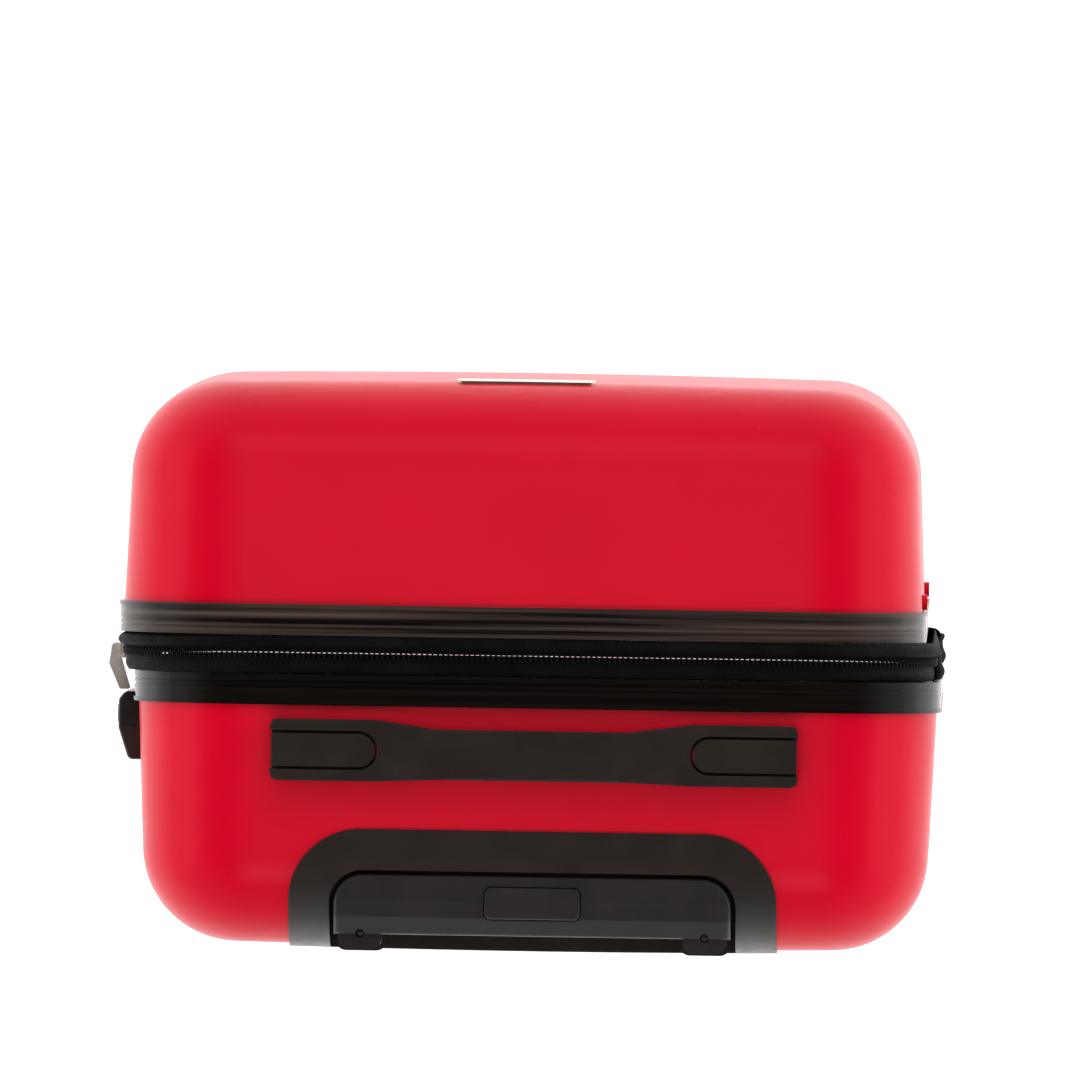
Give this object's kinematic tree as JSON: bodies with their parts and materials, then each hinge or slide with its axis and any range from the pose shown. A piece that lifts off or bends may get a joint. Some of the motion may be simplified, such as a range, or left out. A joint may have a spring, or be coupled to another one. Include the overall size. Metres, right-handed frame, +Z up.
{
  "type": "hard shell suitcase",
  "caption": "Hard shell cabin suitcase in two zipped halves, with a telescopic handle, a low carry handle, a side combination lock and swivelling twin-wheel casters.",
  "frame": {"origin": "on the floor under the middle of the case, which stands upright on its casters", "axes": "+Z up the case's height, +X across its width towards the lock, -Y out of the front face, +Y out of the back face with the telescopic handle"},
  "size_m": [0.3686, 0.2563, 0.5545],
  "materials": {
    "shell": "satin red ABS with a fine pressed grain",
    "rim": "gloss black",
    "lining": "thin woven polyester",
    "zip_cloth": "black woven tape with nylon coil",
    "handle_plastic": "fine-grained matte black",
    "guide_plastic": "moulded nylon",
    "tube_metal": "satin anodised",
    "steel": "plated",
    "lock_gloss": "gloss black",
    "dial_plastic": "gloss black with plain marks",
    "zip_metal": "gunmetal plating",
    "badge_metal": "polished",
    "webbing": "woven webbing",
    "buckle": "moulded",
    "caster_plastic": "moulded nylon",
    "hub": "moulded",
    "tyre": "polyurethane"
  },
  "bodies": {
    "back_half": {"back_shell": "shell", "back_rim": "rim", "back_lining": "lining", "back_zip": "zip_cloth", "hinge_strip": "zip_cloth", "zip_end_tabs": "zip_cloth", "trolley_housing": "handle_plastic", "outer_tubes": "tube_metal", "guide_collars": "guide_plastic", "trolley_bracket": "handle_plastic", "bracket_screws": "steel", "handle_mounts": "handle_plastic", "lock_body": "handle_plastic", "lock_face": "lock_gloss", "lock_axle": "steel", "packing_straps": "webbing", "strap_buckle": "buckle", "back_lock_side_caster_base": "caster_plastic", "back_hinge_side_caster_base": "caster_plastic"},
    "front_half": {"front_shell": "shell", "front_rim": "rim", "front_lining": "lining", "front_zip": "zip_cloth", "badge_plate": "badge_metal", "side_studs": "shell", "divider_panel": "lining", "front_lock_side_caster_base": "caster_plastic", "front_hinge_side_caster_base": "caster_plastic"},
    "carry_handle_body": {"carry_handle": "handle_plastic"},
    "tube_stage": {"middle_tubes": "tube_metal", "stage_collars": "guide_plastic"},
    "grip_stage": {"inner_tubes": "tube_metal", "trolley_grip": "handle_plastic"},
    "grip_button": {"trolley_button": "handle_plastic", "push_rods": "steel"},
    "dial_1": {"lock_dial_1": "dial_plastic"},
    "dial_2": {"lock_dial_2": "dial_plastic"},
    "dial_3": {"lock_dial_3": "dial_plastic"},
    "lock_latch": {"lock_button": "lock_gloss"},
    "key_core": {"lock_key_core": "steel"},
    "slider_upper": {"zip_slider_upper": "zip_metal"},
    "slider_lower": {"zip_slider_lower": "zip_metal"},
    "pull_upper": {"zip_pull_upper": "zip_metal"},
    "pull_lower": {"zip_pull_lower": "zip_metal"},
    "front_lock_side_swivel": {"front_lock_side_fork": "caster_plastic"},
    "front_lock_side_wheels": {"front_lock_side_axle": "steel", "front_lock_side_hubs": "hub", "front_lock_side_tyres": "tyre"},
    "front_hinge_side_swivel": {"front_hinge_side_fork": "caster_plastic"},
    "front_hinge_side_wheels": {"front_hinge_side_axle": "steel", "front_hinge_side_hubs": "hub", "front_hinge_side_tyres": "tyre"},
    "back_lock_side_swivel": {"back_lock_side_fork": "caster_plastic"},
    "back_lock_side_wheels": {"back_lock_side_axle": "steel", "back_lock_side_hubs": "hub", "back_lock_side_tyres": "tyre"},
    "back_hinge_side_swivel": {"back_hinge_side_fork": "caster_plastic"},
    "back_hinge_side_wheels": {"back_hinge_side_axle": "steel", "back_hinge_side_hubs": "hub", "back_hinge_side_tyres": "tyre"}
  },
  "joints": [
    {"name": "case_opening", "type": "hinge", "parent": "back_half", "child": "front_half", "pos_m": [-0.1845, -0.0054, 0.297], "axis": [0, 0, -1], "range_deg": [0, 180]},
    {"name": "carry_handle_lift", "type": "slide", "parent": "back_half", "child": "carry_handle_body", "axis": [0, 0, 1], "range_m": [0, 0.012]},
    {"name": "lower_stage_slide", "type": "slide", "parent": "back_half", "child": "tube_stage", "axis": [0, 0, 1], "range_m": [0, 0.25]},
    {"name": "upper_stage_slide", "type": "slide", "parent": "tube_stage", "child": "grip_stage", "axis": [0, 0, 1], "range_m": [0, 0.25]},
    {"name": "grip_button_press", "type": "slide", "parent": "grip_stage", "child": "grip_button", "axis": [0, 0, -1], "range_m": [0, 0.003], "stiffness_N_per_m": 800, "springref_m": -0.003},
    {"name": "lock_button_press", "type": "slide", "parent": "back_half", "child": "lock_latch", "axis": [-1, 0, 0], "range_m": [0, 0.0015], "stiffness_N_per_m": 300, "springref_m": -0.002},
    {"name": "key_turn", "type": "hinge", "parent": "back_half", "child": "key_core", "pos_m": [0.175, 0.0225, 0.419], "axis": [1, 0, 0], "range_deg": [0, 90]},
    {"name": "dial_1_turn", "type": "hinge", "parent": "back_half", "child": "dial_1", "pos_m": [0.1763, 0.0232, 0.433], "axis": [0, 0, 1], "continuous": true},
    {"name": "dial_2_turn", "type": "hinge", "parent": "back_half", "child": "dial_2", "pos_m": [0.1763, 0.0232, 0.44], "axis": [0, 0, 1], "continuous": true},
    {"name": "dial_3_turn", "type": "hinge", "parent": "back_half", "child": "dial_3", "pos_m": [0.1763, 0.0232, 0.447], "axis": [0, 0, 1], "continuous": true},
    {"name": "slider_upper_travel", "type": "slide", "parent": "back_half", "child": "slider_upper", "axis": [0, 0, 1], "range_m": [0, 0.03]},
    {"name": "pull_upper_swing", "type": "hinge", "parent": "slider_upper", "child": "pull_upper", "pos_m": [0.1843, -0.0054, 0.448], "axis": [0, 0, -1], "range_deg": [0, 90]},
    {"name": "slider_lower_travel", "type": "slide", "parent": "back_half", "child": "slider_lower", "axis": [0, 0, -1], "range_m": [0, 0.3]},
    {"name": "pull_lower_swing", "type": "hinge", "parent": "slider_lower", "child": "pull_lower", "pos_m": [0.1843, -0.0054, 0.432], "axis": [0, 0, -1], "range_deg": [0, 90]},
    {"name": "front_lock_side_swivel_turn", "type": "hinge", "parent": "front_half", "child": "front_lock_side_swivel", "pos_m": [0.1434, -0.09, 0.052], "axis": [0, 0, 1], "continuous": true},
    {"name": "front_lock_side_wheel_spin", "type": "hinge", "parent": "front_lock_side_swivel", "child": "front_lock_side_wheels", "pos_m": [0.1434, -0.078, 0.022], "axis": [1, 0, 0], "continuous": true},
    {"name": "front_hinge_side_swivel_turn", "type": "hinge", "parent": "front_half", "child": "front_hinge_side_swivel", "pos_m": [-0.1366, -0.09, 0.052], "axis": [0, 0, 1], "continuous": true},
    {"name": "front_hinge_side_wheel_spin", "type": "hinge", "parent": "front_hinge_side_swivel", "child": "front_hinge_side_wheels", "pos_m": [-0.1366, -0.078, 0.022], "axis": [1, 0, 0], "continuous": true},
    {"name": "back_lock_side_swivel_turn", "type": "hinge", "parent": "back_half", "child": "back_lock_side_swivel", "pos_m": [0.1366, 0.09, 0.052], "axis": [0, 0, 1], "continuous": true},
    {"name": "back_lock_side_wheel_spin", "type": "hinge", "parent": "back_lock_side_swivel", "child": "back_lock_side_wheels", "pos_m": [0.1366, 0.102, 0.022], "axis": [1, 0, 0], "continuous": true},
    {"name": "back_hinge_side_swivel_turn", "type": "hinge", "parent": "back_half", "child": "back_hinge_side_swivel", "pos_m": [-0.1434, 0.09, 0.052], "axis": [0, 0, 1], "continuous": true},
    {"name": "back_hinge_side_wheel_spin", "type": "hinge", "parent": "back_hinge_side_swivel", "child": "back_hinge_side_wheels", "pos_m": [-0.1434, 0.102, 0.022], "axis": [1, 0, 0], "continuous": true}
  ]
}
